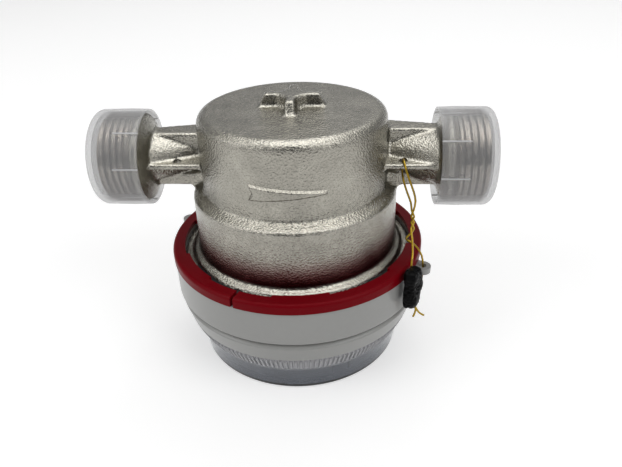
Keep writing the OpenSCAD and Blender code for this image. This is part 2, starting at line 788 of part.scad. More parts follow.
module dial_cover() {
    face_round = 0.8;
    inner_slope_z = cover_h - 1.6;
    color("azure", 0.4) rotate_extrude() polygon(concat(
        [[0, 0]],
        arc([face_r - face_round, face_round], face_round, -90, 0),
        [[edge_r, edge_z], [cover_r, cover_h], [skirt_r, cover_h], [skirt_r, skirt_z]],
        [[skirt_r - 1.6, skirt_z], [skirt_r - 1.6, inner_slope_z], [cover_inner_r, edge_z]],
        [[face_r - cover_wall, face_t], [0, face_t]]
    ));
}

module cover_gasket() {
    color("black") difference() {
        shaft([0, 0], skirt_r, skirt_z, skirt_z + gasket_t);
        shaft([0, 0], skirt_r - 1.6, skirt_z - sink, skirt_z + gasket_t + sink);
    }
}

// Bearing holes for every arbor, through a plate between two heights
module arbor_holes(low, high, places) {
    for (at = places)
        shaft(at, arbor_r + running, low - sink, high + sink);
    shaft([0, 0], pivot_r + running, low - sink, high + sink);
}

// Upper plate of the train, with the stud that carries the reversing wheel
module gear_base() {
    top = base_plate_z + base_plate_t;
    color("white") {
        difference() {
            shaft([0, 0], frame_r, base_plate_z, top);
            arbor_holes(base_plate_z, top, concat(pointer_at, idler_at, [first_at, crown_at]));
            for (a = column_angles)
                rotate(a) shaft([column_ring, 0], screw_r + press, base_plate_z - sink, top + sink);
        }
        shaft(reverse_at, stud_r, layer_z[1] - layer_gap * 0.6, base_plate_z + sink);
        shaft(reverse_at, stud_r + 0.4, layer_z[1] - layer_gap * 0.6, layer_z[1] - layer_gap * 0.2);
    }
}

// Side bracket of the counter: holds both axles, with an arm over the crown on the units side
module counter_bracket(low_x, with_arm) {
    back = carry_at[0] - 2;
    front = drum_y + 2.4;
    step_y = drum_y - pitch_r(crown_teeth) - 0.9;
    step_z = drum_z + 2.2;
    top = arm_z + arm_t;
    translate([low_x, 0, 0]) rotate([90, 0, 90]) linear_extrude(bracket_t) polygon(
        [[back, frame_z], [front, frame_z], [front, step_z], [step_y, step_z], [step_y, top], [back, top]]);
    if (with_arm)
        translate([low_x, back, arm_z]) cube([crown_x + 1.6 - low_x, drum_y + 1.6 - back, arm_t]);
}

module register_frame() {
    opening_x = bracket_left_x + bracket_t;
    opening_l = bracket_right_x - opening_x;
    opening_w = 2 * drum_r + 1;
    axle_x = bracket_left_x - sink;
    axle_l = bracket_right_x + bracket_t - bracket_left_x + 2 * sink;
    color("white") difference() {
        union() {
            shaft([0, 0], frame_r, frame_z, frame_top_z);
            counter_bracket(bracket_left_x, false);
            counter_bracket(bracket_right_x, true);
            for (a = column_angles)
                rotate(a) shaft([column_ring, 0], column_r, frame_z, base_plate_z);
        }
        translate([opening_x, drum_y - opening_w / 2, frame_z - sink])
            cube([opening_l, opening_w, frame_t + 2 * sink]);
        arbor_holes(frame_z, frame_top_z, concat(pointer_at, idler_at, [first_at]));
        shaft(crown_at, arbor_r + running, arm_z - sink, arm_z + arm_t + sink);
        translate([axle_x, drum_y, drum_z]) rotate([0, 90, 0]) cylinder(r = axle_r + press, h = axle_l);
        translate([axle_x, carry_at[0], carry_at[1]])
            rotate([0, 90, 0]) cylinder(r = carry_axle_r + press, h = axle_l);
        for (a = column_angles)
            rotate(a) shaft([column_ring, 0], screw_r + press, base_plate_z - 5, base_plate_z + sink);
    }
}

// Three screws that hold the gear base on the frame's columns
module frame_screws() {
    top = base_plate_z + base_plate_t;
    color("gainsboro") for (a = column_angles) rotate(a) translate([column_ring, 0, 0]) difference() {
        union() {
            shaft([0, 0], screw_r, base_plate_z - 5, top);
            shaft([0, 0], screw_head_r, top, top + screw_head_h);
        }
        translate([-screw_head_r, -0.25, top + screw_head_h / 2])
            cube([2 * screw_head_r, 0.5, screw_head_h]);
    }
}

module dial_plate() {
    window_w = 5.6;
    window_x = drum_x(drum_count) - rim_w / 2 - 0.4;
    window_l = drum_x(1) + rim_w / 2 + 0.4 - window_x;
    rim_low_z = face_t + loose;
    color("white") difference() {
        union() {
            shaft([0, 0], dial_r, dial_z, frame_z);
            difference() {
                shaft([0, 0], dial_r, rim_low_z, dial_z + sink);
                shaft([0, 0], dial_r - dial_rim, rim_low_z - sink, dial_z + 2 * sink);
                rotate(rim_notch_angle) translate([dial_r - 2 * dial_rim, -rim_notch / 2, rim_low_z - sink])
                    cube([3 * dial_rim, rim_notch, dial_z - rim_low_z]);
            }
        }
        translate([window_x, drum_y - window_w / 2, dial_z - sink])
            cube([window_l, window_w, dial_t + 2 * sink]);
        for (at = pointer_at)
            shaft(at, arbor_r + 0.4, dial_z - sink, frame_z + sink);
        shaft([0, 0], pivot_r + 0.4, dial_z - sink, frame_z + sink);
    }
}

// Magnet follower: one spindle from the dome to the dial, with its pinion and the magnet's hub
module follower_spindle() {
    top = dome_top_z - dome_wall - 0.3;
    hub_low = base_plate_z + base_plate_t + 1.4;
    hub_high = dome_top_z - dome_wall - dome_boss_h - 0.6;
    color("white") {
        shaft([0, 0], pivot_r, pointer_z, top);
        shaft([0, 0], stub_r, hub_low, hub_high);
        gear([0, 0], first_at, follower_teeth[0], 0, false);
    }
}

module follower_magnet() {
    high = dome_top_z - dome_wall - dome_boss_h - 0.6;
    color("dimgray") difference() {
        shaft([0, 0], magnet_r, high - magnet_h, high);
        shaft([0, 0], stub_r + press, high - magnet_h - sink, high + sink);
    }
}

// Flow indicator at the middle of the dial
module star_wheel() {
    points = 6;
    outer = 3.4;
    inner = 1.9;
    color("red") difference() {
        translate([0, 0, pointer_z]) linear_extrude(pointer_t) polygon([
            for (i = [0:2 * points - 1]) polar(i % 2 == 0 ? outer : inner, i * 180 / points)
        ]);
        shaft([0, 0], pivot_r + press, pointer_z - sink, pointer_z + pointer_t + sink);
    }
}

module first_wheel() {
    color("gold") {
        arbor(first_at, frame_z + loose);
        gear(first_at, [0, 0], follower_teeth[1], 0, true);
        gear(first_at, reverse_at, first_teeth[0], 1, false);
    }
}

// Wheel on the gear base's stud that makes the pointers turn clockwise
module reversing_wheel() {
    color("gold") difference() {
        gear(reverse_at, first_at, first_teeth[1], 1, true);
        shaft(reverse_at, stud_r + running, layer_z[1] - sink, layer_z[1] + gear_t + sink);
    }
}

// Arbor of pointer i: driven in one layer, driving the next arbor one layer on
module pointer_arbor(i) {
    at = pointer_at[i - 1];
    to = i == 4 ? crown_at : idler_at[i - 1];
    out_teeth = i == 4 ? crown_in[0] : idler_in[0];
    reverse_phase = bearing(reverse_at, first_at) + 180 / first_teeth[1];
    color("gold") {
        arbor(at, pointer_z);
        if (i == 1)
            translate([at[0], at[1], layer_z[1]]) linear_extrude(gear_t)
                gear_outline(reverse_teeth[1],
                    mesh_phase(bearing(reverse_at, at), reverse_teeth[1], reverse_teeth[0], reverse_phase));
        else
            gear(at, idler_at[i - 2], idler_out[1], (2 * i - 1) % 3, true);
        gear(at, to, out_teeth, (2 * i) % 3, false);
    }
}

module idler(i) {
    color("gold") {
        arbor(idler_at[i - 1], frame_z + loose);
        gear(idler_at[i - 1], pointer_at[i - 1], idler_in[1], (2 * i) % 3, true);
        gear(idler_at[i - 1], pointer_at[i], idler_out[0], (2 * i + 1) % 3, false);
    }
}

// Tapered needle with a round boss and a short tail
module pointer(i) {
    boss = 1.1;
    at = pointer_at[i - 1];
    color("red") translate([at[0], at[1], pointer_z]) difference() {
        linear_extrude(pointer_t) union() {
            circle(r = boss);
            rotate(-90) polygon([
                [-1.8, -0.5], [0, -0.8], [pointer_l, -0.15],
                [pointer_l, 0.15], [0, 0.8], [-1.8, 0.5]
            ]);
        }
        shaft([0, 0], arbor_r + press, -sink, pointer_t + sink);
    }
}

// Last arbor of the train: its crown of teeth turns the units wheel
module crown_arbor() {
    crown_r = pitch_r(crown_teeth);
    crown_z = drum_z + pitch_r(drum_teeth);
    tooth_w = gear_m * PI * 0.3;
    disc_z = crown_z + 1.15 * gear_m;
    color("gold") {
        shaft(crown_at, arbor_r, disc_z, base_plate_z + base_plate_t - 0.2);
        shaft(crown_at, arbor_r + 0.35, arm_z + arm_t + loose, base_plate_z - loose);
        shaft(crown_at, crown_r + 0.4, disc_z, arm_z - 0.1);
        gear(crown_at, pointer_at[3], crown_in[1], 8 % 3, true);
        for (i = [0:crown_teeth - 1])
            translate([crown_at[0], crown_at[1], crown_z - 0.7 * gear_m])
                rotate(180 + i * 360 / crown_teeth)
                translate([crown_r - 0.35, -tooth_w / 2, 0])
                    cube([0.7, tooth_w, disc_z - crown_z + 0.7 * gear_m + 0.1]);
    }
}

// Number wheel i, counted from the units: carry disc, figure rim and gear on one axle
module number_wheel(i) {
    carry_r = carry_d - carry_tip_r - 0.15;
    low = -drum_w / 2;
    color("black") translate([drum_x(i), drum_y, drum_z]) rotate([0, 90, 0]) difference() {
        union() {
            translate([0, 0, low]) cylinder(r = carry_r, h = carry_w + rim_w / 2);
            translate([0, 0, low + carry_w]) cylinder(r = drum_r, h = rim_w);
            translate([0, 0, low + carry_w + rim_w])
                linear_extrude(drum_gear_w) gear_outline(drum_teeth, 180 + 180 / drum_teeth);
        }
        translate([0, 0, low - sink]) cylinder(r = axle_r + running, h = drum_w + 2 * sink);
    }
}

// Pinion i between number wheels i and i + 1
module carry_pinion(i) {
    width = drum_pitch - rim_w - 0.4;
    low_x = drum_x(i + 1) - drum_w / 2 + carry_w + rim_w + 0.2;
    phase = mesh_phase(270 - carry_axis_angle, carry_teeth, drum_teeth, 180 + 180 / drum_teeth);
    color("white") translate([low_x, carry_at[0], carry_at[1]]) rotate([0, 90, 0]) difference() {
        linear_extrude(width) gear_outline(carry_teeth, phase);
        translate([0, 0, -sink]) cylinder(r = carry_axle_r + running, h = width + 2 * sink);
    }
}

module number_axle() {
    color("gainsboro") translate([bracket_left_x, drum_y, drum_z]) rotate([0, 90, 0])
        cylinder(r = axle_r, h = bracket_right_x + bracket_t - bracket_left_x);
}

module carry_axle() {
    color("gainsboro") translate([bracket_left_x, carry_at[0], carry_at[1]]) rotate([0, 90, 0])
        cylinder(r = carry_axle_r, h = bracket_right_x + bracket_t - bracket_left_x);
}

// Smooth curve through the points of a route, with a number of steps from point to point
function curve_point(a, b, c, d, t) =
    0.5 * (2 * b + (c - a) * t + (2 * a - 5 * b + 4 * c - d) * t * t + (3 * b - a - 3 * c + d) * t * t * t);
function curve(p, steps) =
    let (last = len(p) - 1)
    concat(
        [for (i = [0:last - 1], s = [0:steps - 1])
            curve_point(p[max(i - 1, 0)], p[i], p[i + 1], p[min(i + 2, last)], s / steps)],
        [p[last]]
    );

// Closed tube along a curve: rings square to the curve, each turned as little as possible
module swept_tube(p, r, sides) {
    last = len(p) - 1;
    function unit(v) = v / norm(v);
    function heading(i) = unit(p[min(i + 1, last)] - p[max(i - 1, 0)]);
    function carried(v, t) = unit(v - t * (v * t));
    function normals(i, list) =
        i > last ? list : normals(i + 1, concat(list, [carried(list[i - 1], heading(i))]));
    up = normals(1, [carried([0, 1, 0], heading(0))]);
    points = [for (i = [0:last], s = [0:sides - 1])
        p[i] + r * (cos(360 * s / sides) * up[i] + sin(360 * s / sides) * cross(heading(i), up[i]))];
    walls = [for (i = [0:last - 1], s = [0:sides - 1])
        [i * sides + s, (i + 1) * sides + s,
         (i + 1) * sides + (s + 1) % sides, i * sides + (s + 1) % sides]];
    polyhedron(points, concat(
        walls,
        [[for (s = [0:sides - 1]) s]],
        [[for (s = [sides - 1:-1:0]) last * sides + s]]
    ));
}

module seal_wire() {
    color("darkgoldenrod") swept_tube(curve(wire_route, wire_steps), wire_r, wire_sides);
}

// Crimped seal: a rounded plug with two pinched waists
module wire_seal() {
    turn = atan2(seal_at[1], seal_at[0]) + 90;
    color([0.06, 0.06, 0.06]) translate(seal_at) rotate([0, 0, turn]) difference() {
        translate([0, 0, -seal_size[2] / 2]) linear_extrude(seal_size[2]) intersection() {
            square([seal_size[0], seal_size[1]], center = true);
            circle(r = seal_size[0] / 2 + 0.1);
        }
        for (z = [-0.18, 0.2])
            translate([0, -seal_size[1] / 2 - 0.5, z * seal_size[2]]) rotate([0, 90, 0])
                cylinder(r = 1, h = seal_size[0] + 2, center = true);
    }
}

meter_body();
inlet_strainer();
pivot_pin();
impeller();
impeller_bush();
impeller_spindle();
drive_magnet();
pressure_plate();
plate_bush();
plate_o_ring();
lock_ring();
inlet_cap();
outlet_cap();
clamp_ring();
register_housing();
dial_cover();
cover_gasket();
gear_base();
register_frame();
frame_screws();
dial_plate();
follower_spindle();
follower_magnet();
star_wheel();
first_wheel();
reversing_wheel();
for (i = [1:4]) pointer_arbor(i);
for (i = [1:4]) pointer(i);
for (i = [1:3]) idler(i);
crown_arbor();
for (i = [1:5]) number_wheel(i);
for (i = [1:4]) carry_pinion(i);
number_axle();
carry_axle();
seal_wire();
wire_seal();
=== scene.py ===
import json

import bmesh
import bpy
import numpy as np
from mathutils import Matrix, Vector


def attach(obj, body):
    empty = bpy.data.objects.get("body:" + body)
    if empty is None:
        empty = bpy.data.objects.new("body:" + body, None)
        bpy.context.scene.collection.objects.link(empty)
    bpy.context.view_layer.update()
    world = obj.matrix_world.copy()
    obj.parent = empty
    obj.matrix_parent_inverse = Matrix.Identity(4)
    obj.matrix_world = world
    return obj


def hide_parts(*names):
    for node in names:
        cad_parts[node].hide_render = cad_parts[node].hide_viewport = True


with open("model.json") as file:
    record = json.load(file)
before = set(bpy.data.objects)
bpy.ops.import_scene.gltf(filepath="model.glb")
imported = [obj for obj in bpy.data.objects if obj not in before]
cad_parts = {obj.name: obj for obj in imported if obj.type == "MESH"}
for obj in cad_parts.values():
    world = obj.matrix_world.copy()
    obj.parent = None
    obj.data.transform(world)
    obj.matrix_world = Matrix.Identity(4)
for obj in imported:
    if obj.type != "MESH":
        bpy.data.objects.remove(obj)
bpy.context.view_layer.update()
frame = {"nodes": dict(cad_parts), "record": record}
nodes = frame["nodes"]


# Studio: a sheet of white paper under the meter, three soft lamps round it, and a camera held a little
# above it that looks down by thirty degrees. Metal mirrors a grey room with a bright ceiling and a dark
# place where the person with the camera stands. Metres and watts.
scene = bpy.context.scene
scene.view_settings.view_transform = "Standard"
camera_at = np.array([0.01637, -0.16301, 0.13124])
camera_pitch, camera_yaw, camera_roll = np.radians([30.47, -4.23, -1.81])
paper_white = (0.86, 0.86, 0.86, 1)
paper_glow = 0.4
paper_z = -0.0002
lamp_set = {
    "key_lamp": ((0.55, -0.38, 0.55), 0.5, 1.9),
    "fill_lamp": ((-0.6, -0.3, 0.45), 0.45, 1.6),
    "back_lamp": ((0.1, 0.5, 0.7), 0.5, 0.9),
}
lamp_aim = (0, 0, 0.04)
paper_half = 3
sky_grey, sky_zenith, ambient = 0.38, 3.4, 0.42
ceiling_from, ceiling_to = 0.78, 0.95
person_way, person_from, person_to, person_dark = (0.09, -0.94, 0.33), 0.86, 0.95, 0.05


def add(tree, kind, sockets=None, **settings):
    """A shader node with its settings; each named socket takes a value or the output that feeds it."""
    made = tree.nodes.new(kind)
    for name, value in settings.items():
        setattr(made, name, value)
    for name, value in (sockets or {}).items():
        if isinstance(value, bpy.types.NodeSocket):
            tree.links.new(value, made.inputs[name])
        else:
            made.inputs[name].default_value = value
    return made


def link(thing):
    """Puts an object into the scene."""
    scene.collection.objects.link(thing)
    return thing


def seen_rays(tree):
    """1 on rays from the camera, on mirror rays and through glass, 0 on the light that falls on things."""
    path = add(tree, "ShaderNodeLightPath").outputs
    direct = add(tree, "ShaderNodeMath", {0: path["Is Camera Ray"], 1: path["Is Transmission Ray"]},
                 operation="MAXIMUM")
    return add(tree, "ShaderNodeMath", {0: direct.outputs[0], 1: path["Is Glossy Ray"]},
               operation="MAXIMUM")


camera = link(bpy.data.objects.new("photo_camera", bpy.data.cameras.new("photo_camera")))
camera.data.lens, camera.data.sensor_width, camera.data.clip_start = 34.62, 36, 0.01
ahead = np.array([np.sin(camera_yaw) * np.cos(camera_pitch), np.cos(camera_yaw) * np.cos(camera_pitch),
                  -np.sin(camera_pitch)])
level = np.array([np.cos(camera_yaw), -np.sin(camera_yaw), 0])
raised = np.cross(level, ahead)
camera_right = level * np.cos(camera_roll) + raised * np.sin(camera_roll)
camera_up = raised * np.cos(camera_roll) - level * np.sin(camera_roll)
camera_place = np.eye(4)
camera_place[:3] = np.stack([camera_right, camera_up, -ahead, camera_at], 1)
camera.matrix_world = Matrix(camera_place.tolist())
scene.camera = camera

for name, (place, size, power) in lamp_set.items():
    lamp = link(bpy.data.objects.new(name, bpy.data.lights.new(name, "AREA")))
    lamp.data.size, lamp.data.energy = size, power
    lamp.location = place
    lamp.rotation_euler = (Vector(lamp_aim) - Vector(place)).to_track_quat("-Z", "Y").to_euler()

world = bpy.data.worlds.new("studio")
world.use_nodes = True
scene.world = world
tree = world.node_tree
tree.nodes.clear()
way = add(tree, "ShaderNodeTexCoord").outputs["Generated"]
height = add(tree, "ShaderNodeSeparateXYZ", {0: way})
zenith = add(tree, "ShaderNodeMapRange", {
    "Value": height.outputs["Z"], "From Min": ceiling_from, "From Max": ceiling_to, "To Min": sky_grey,
    "To Max": sky_zenith}, interpolation_type="SMOOTHSTEP")
facing = add(tree, "ShaderNodeVectorMath", {0: way, 1: person_way}, operation="DOT_PRODUCT")
person = add(tree, "ShaderNodeMapRange", {
    "Value": facing.outputs["Value"], "From Min": person_from, "From Max": person_to, "To Min": 1.0,
    "To Max": person_dark}, interpolation_type="SMOOTHSTEP")
sky = add(tree, "ShaderNodeMath", {0: zenith.outputs[0], 1: person.outputs[0]}, operation="MULTIPLY")
path = add(tree, "ShaderNodeLightPath").outputs
shown = add(tree, "ShaderNodeMath", {0: path["Is Camera Ray"], 1: path["Is Transmission Ray"]},
            operation="MAXIMUM")
mirrored = add(tree, "ShaderNodeMix", {"Factor": path["Is Glossy Ray"], "A": ambient, "B": sky.outputs[0]})
strength = add(tree, "ShaderNodeMix", {"Factor": shown.outputs[0], "A": mirrored.outputs[0], "B": 1.0})
backdrop = add(tree, "ShaderNodeBackground", {"Strength": strength.outputs[0], "Color": (1, 1, 1, 1)})
add(tree, "ShaderNodeOutputWorld", {"Surface": backdrop.outputs[0]})

paper_mesh = bpy.data.meshes.new("paper")
paper_corners = ((-1, -1), (1, -1), (1, 1), (-1, 1))
paper_mesh.from_pydata([(x * paper_half, y * paper_half, paper_z) for x, y in paper_corners], [],
                       [(0, 1, 2, 3)])
paper = link(bpy.data.objects.new("paper", paper_mesh))
paper_finish = bpy.data.materials.new("paper")
paper_finish.use_nodes = True
tree = paper_finish.node_tree
tree.nodes.clear()
glow = add(tree, "ShaderNodeMath", {0: seen_rays(tree).outputs[0], 1: paper_glow}, operation="MULTIPLY")
sheet = add(tree, "ShaderNodeBsdfPrincipled", {"Base Color": paper_white, "Roughness": 0.9,
                                               "Specular IOR Level": 0.1, "Emission Color": (1, 1, 1, 1),
                                               "Emission Strength": glow.outputs[0]})
add(tree, "ShaderNodeOutputMaterial", {"Surface": sheet.outputs[0]})
paper_mesh.materials.append(paper_finish)


# Casting: a nickel-plated cup, soft and grainy from the sand, with two necks that lean to the back, each
# with two ribs and two webs, an arrow and a cross. The red ring's mirror image and the dark gap at the
# front of the flange are painted on, not lit. Millimetres from here on, metres in materials and on faces.
pipe_z = 61.5
spigot_x = 42.0
neck_end_x, neck_run, neck_widening = 23.0, 18.0, 1.065
passage_lean, neck_lean = 6.6 / neck_run, 0.25
rib_reach = 8.2
rib_in_x, rib_out_x = 24.2, 42.4
rib_back, rib_back_x, rib_drift, rib_run = 4.9, 42.5, 4.1, 18.3
# By side: the neck's radius at the spigot, the upper rib's height over the axis and its front in Y.
neck_form = {1: (8.2, 8.3, 0.3), -1: (7.0, 7.5, -0.8)}
web_half = 0.65
worn = 0.1
cup_r = 27.2
base_z = 76.5
cross_foot, cross_top = (-0.8, 9.9), (3.6, 7.9)
cross_arm, cross_root, cross_y = 1.4, 3.9, 1.85
arrow_tail_x, arrow_tip_x, arrow_notch, arrow_z = -8.9, 10.9, 1.2, 0.75
arrow_half, arrow_taper, arrow_rise, arrow_slope = 2.45, 1.85, 0.75, 0.6
seal_hole_r = 1.25
seal_holes = ((31.6, -5.0), (-33.6, -5.3))
casting_voxel = 0.49
nickel = (0.333, 0.32, 0.28, 1)
# Painted reflection: the red ring mirrored on the nickel as a red tint, fading in and out between these
# heights in metres.
painted_ring_reflection = (0.15, 0.013, 0.018, 1)
reflection_from, reflection_full, reflection_to = 0.0352, 0.0362, 0.0455
gap_y, gap_z, gap_r = -0.016, 0.0338, 0.0322
necks_from, necks_fade = 0.0272, 0.0015
cup_ripple, neck_ripple, broad_ripple = 0.004, 0.018, 0.002


def arc(centre_r, centre_h, r, start, end, count=7):
    """Points of a circle: centre plus r times (cos, sin) of angles from start to end, in degrees."""
    a = np.radians(np.linspace(start, end, count))
    return np.stack([centre_r + r * np.cos(a), centre_h + r * np.sin(a)], 1)


def grid_faces(rows, steps, loop):
    """Quads of a grid that is closed along its steps, and along its rows as well for a loop."""
    i = np.arange(rows if loop else rows - 1)[:, None]
    j = np.arange(steps)[None, :]
    after, beside = (i + 1) % rows, (j + 1) % steps
    corners = np.broadcast_arrays(i * steps + j, i * steps + beside, after * steps + beside,
                                  after * steps + j)
    return np.stack(corners, -1).reshape(-1, 4).tolist()


def turned(profile, steps, along_x=False, loop=False):
    """Profile of (radius r, height h) carried round: (r cos a, r sin a, h), or (h, r cos a, r sin a)
    about the pipe axis. A loop joins the profile's last point to its first."""
    a = np.linspace(0, 2 * np.pi, steps, endpoint=False)
    r, h = np.asarray(profile, float).T[:, :, None]
    parts = [r * np.cos(a), r * np.sin(a), h + 0 * a]
    points = np.stack([parts[2], parts[0], parts[1] + pipe_z] if along_x else parts, -1)
    return points.reshape(-1, 3), grid_faces(len(profile), steps, loop)


def lofted(rings):
    """Rings of points joined in order to a skin, with one face over each end."""
    rings = np.asarray(rings, float)
    rows, steps = rings.shape[:2]
    ends = [list(range(steps)), list(range((rows - 1) * steps, rows * steps))]
    return rings.reshape(-1, 3), grid_faces(rows, steps, False) + ends


def mesh_of(name, shells):
    """Shells in millimetres as one mesh in metres, doubled points merged and faces turned outwards."""
    points, faces = [], []
    for shell_points, shell_faces in shells:
        first = sum(len(p) for p in points)
        points.append(shell_points)
        faces += [[first + k for k in face] for face in shell_faces]
    mesh = bpy.data.meshes.new(name)
    mesh.from_pydata(np.concatenate(points) * 0.001, [], faces)
    work = bmesh.new()
    work.from_mesh(mesh)
    bmesh.ops.remove_doubles(work, verts=work.verts, dist=1e-7)
    bmesh.ops.dissolve_degenerate(work, edges=work.edges, dist=1e-8)
    bmesh.ops.recalc_face_normals(work, faces=work.faces)
    work.to_mesh(mesh)
    work.free()
    return mesh


def piece(name, shells, body, finish, crease=40, stands_for=()):
    """A new piece of the meter: its mesh, smooth up to the crease angle, its finish, body and slot."""
    mesh = shells if isinstance(shells, bpy.types.Mesh) else mesh_of(name, shells)
    mesh.materials.clear()
    mesh.materials.append(finish)
    mesh.shade_smooth()
    if crease:
        mesh.set_sharp_from_angle(angle=np.radians(crease))
    made = link(bpy.data.objects.new(name, mesh))
    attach(made, body)
    if stands_for:
        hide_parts(*stands_for)
    return made


def ripple(points, size, seed):
    """Smooth seeded noise: the mean of 24 sine waves of random directions, about one wave per size."""
    draw = np.random.default_rng(seed)
    ways = draw.normal(size=(24, 3))
    ways /= np.linalg.norm(ways, axis=1)[:, None] * size * draw.uniform(0.7, 1.4, (24, 1)) / (2 * np.pi)
    return np.sin(points @ ways.T + draw.uniform(0, 2 * np.pi, 24)).sum(1) / np.sqrt(12)


def worked(mesh, steps):
    """The mesh after a row of modifiers, each a kind and its settings, is applied to it."""
    carrier = link(bpy.data.objects.new("work", mesh))
    for kind, settings in steps:
        step = carrier.modifiers.new(kind, kind)
        for name, value in settings.items():
            setattr(step, name, value)
    bpy.context.view_layer.update()
    graph = bpy.context.evaluated_depsgraph_get()
    done = bpy.data.meshes.new_from_object(carrier.evaluated_get(graph), depsgraph=graph)
    bpy.data.objects.remove(carrier)
    return done


def make_grain():
    """Shader group for broken surfaces: fine noise of Size waves a metre and a cloud a twelfth as fine
    turn the Colour lighter and darker by Mottle and vary the Roughness; the fine noise is the Height."""
    group = bpy.data.node_groups.new("surface_grain", "ShaderNodeTree")
    for name, kind in (("Colour", "Color"), ("Mottle", "Float"), ("Size", "Float"), ("Roughness", "Float")):
        group.interface.new_socket(name, in_out="INPUT", socket_type="NodeSocket" + kind)
    for name, kind in (("Colour", "Color"), ("Roughness", "Float"), ("Height", "Float")):
        group.interface.new_socket(name, in_out="OUTPUT", socket_type="NodeSocket" + kind)
    given = add(group, "NodeGroupInput").outputs
    place = add(group, "ShaderNodeTexCoord").outputs["Object"]
    fine = add(group, "ShaderNodeTexNoise", {"Vector": place, "Scale": given["Size"], "Detail": 3.0})
    wide = add(group, "ShaderNodeMath", {0: given["Size"], 1: 0.08}, operation="MULTIPLY")
    cloud = add(group, "ShaderNodeTexNoise", {"Vector": place, "Scale": wide.outputs[0], "Detail": 4.0})
    both = add(group, "ShaderNodeMath", {0: fine.outputs[0], 1: cloud.outputs[0]}, operation="ADD")
    middle = add(group, "ShaderNodeMath", {0: both.outputs[0], 1: -1.0}, operation="ADD")
    gain = add(group, "ShaderNodeMath", {0: middle.outputs[0], 1: given["Mottle"], 2: 1.0},
               operation="MULTIPLY_ADD")
    colour = add(group, "ShaderNodeVectorMath", {0: given["Colour"], "Scale": gain.outputs[0]},
                 operation="SCALE")
    uneven = add(group, "ShaderNodeMath", {0: gain.outputs[0], 1: given["Roughness"]}, operation="MULTIPLY")
    add(group, "NodeGroupOutput", {"Colour": colour.outputs[0], "Roughness": uneven.outputs[0],
                                   "Height": fine.outputs[0]})
    return group


surface_grain = make_grain()


def finish(name, colour, roughness, mottle, size, depth, **shader):
    """Material whose colour and roughness surface_grain breaks up, with grains of that depth in metres.
    Other shader sockets are set by name, written with underscores."""
    made = bpy.data.materials.new(name)
    made.use_nodes = True
    tree = made.node_tree
    tree.nodes.clear()
    grain = add(tree, "ShaderNodeGroup", node_tree=surface_grain)
    for socket, value in (("Colour", colour), ("Mottle", mottle), ("Size", size), ("Roughness", roughness)):
        grain.inputs[socket].default_value = value
    bump = add(tree, "ShaderNodeBump", {"Height": grain.outputs["Height"], "Distance": depth})
    skin = add(tree, "ShaderNodeBsdfPrincipled", {
        "Base Color": grain.outputs["Colour"], "Roughness": grain.outputs["Roughness"],
        "Normal": bump.outputs[0], **{key.replace("_", " "): value for key, value in shader.items()}})
    add(tree, "ShaderNodeOutputMaterial", {"Surface": skin.outputs[0]})
    return made


def coat(material, *names):
    """Gives CAD nodes their finish."""
    for name in names:
        for place in nodes[name].material_slots:
            place.material = material


def neck(side, large_r, small_r, from_x, lean):
    """Cone from the spigot to the cup: circles in planes across X whose middle moves back by the lean,
    a little wider in Y because the cone leans."""
    x = np.linspace(from_x, neck_end_x, 6)[:, None]
    a = np.linspace(0, 2 * np.pi, 48, endpoint=False)
    r = large_r - (spigot_x - x) / neck_run * (large_r - small_r)
    y = (spigot_x - x) * lean + neck_widening * r * np.cos(a)
    return lofted(np.stack(np.broadcast_arrays(side * x, y, pipe_z + r * np.sin(a)), -1))


def rib(side, outline, front):
    """Upright plate on a neck: an outline in (x, height over the pipe axis), from the front as far to the
    back as the cone leans."""
    x, h = np.asarray(outline, float).T
    back = rib_back + worn + (rib_back_x - x) * rib_drift / rib_run
    return lofted([np.stack([side * x, y, pipe_z + h], 1) for y in (0 * x + front, back)])


def web(side, outline):
    """Level plate on a neck: an outline in (x, y) drawn out to the web's thickness."""
    x, y = np.asarray(outline, float).T
    return lofted([np.stack([side * x, y, 0 * x + pipe_z + h], 1)
                   for h in (-web_half - worn, web_half + worn)])


def base_cross():
    """Cross on the base: four arms with slanting corners between them, each arm's end sloping in."""
    outlines = []
    for (rise, reach), more in ((cross_foot, 0), (cross_top, worn)):
        z = base_z + rise + more
        arm = np.array([[reach, -cross_arm], [reach, cross_arm], [cross_root, cross_arm],
                        [cross_arm, cross_root]])
        a = np.radians([0, 90, 180, 270])[:, None]
        x = (arm[:, 0] * np.cos(a) - arm[:, 1] * np.sin(a)).ravel()
        y = (arm[:, 0] * np.sin(a) + arm[:, 1] * np.cos(a)).ravel()
        outlines.append(np.stack([x, y + cross_y, 0 * x + z], 1))
    return lofted(outlines)


def flow_arrow():
    """Low pad on the cup's front: the way along it s from tail to tip and across it t from -1 to 1, with a
    tail notched by 1.2 mm and 4.9 mm high, a tip of 1.2 mm, and edges that slope up over 0.6 mm."""
    s = np.sin(np.linspace(0, np.pi / 2, 70))[:, None] ** 2
    t = np.sin(np.linspace(-np.pi / 2, np.pi / 2, 21))[None, :]
    tail = arrow_tail_x - arrow_notch * np.abs(t)
    x = tail + s * (arrow_tip_x - tail)
    half = arrow_half - arrow_taper * s
    inside = np.minimum((1 - np.abs(t)) * half, np.minimum(x - tail, arrow_tip_x - x))
    rise = arrow_rise * np.clip(inside / arrow_slope, 0, 1)
    layers = [np.stack([x, -np.sqrt((cup_r + up) ** 2 - x ** 2), pipe_z + arrow_z + t * half], -1)
              for up in (rise, -1.0)]
    return lofted(np.concatenate([layers[0], layers[1][:, ::-1]], 1))


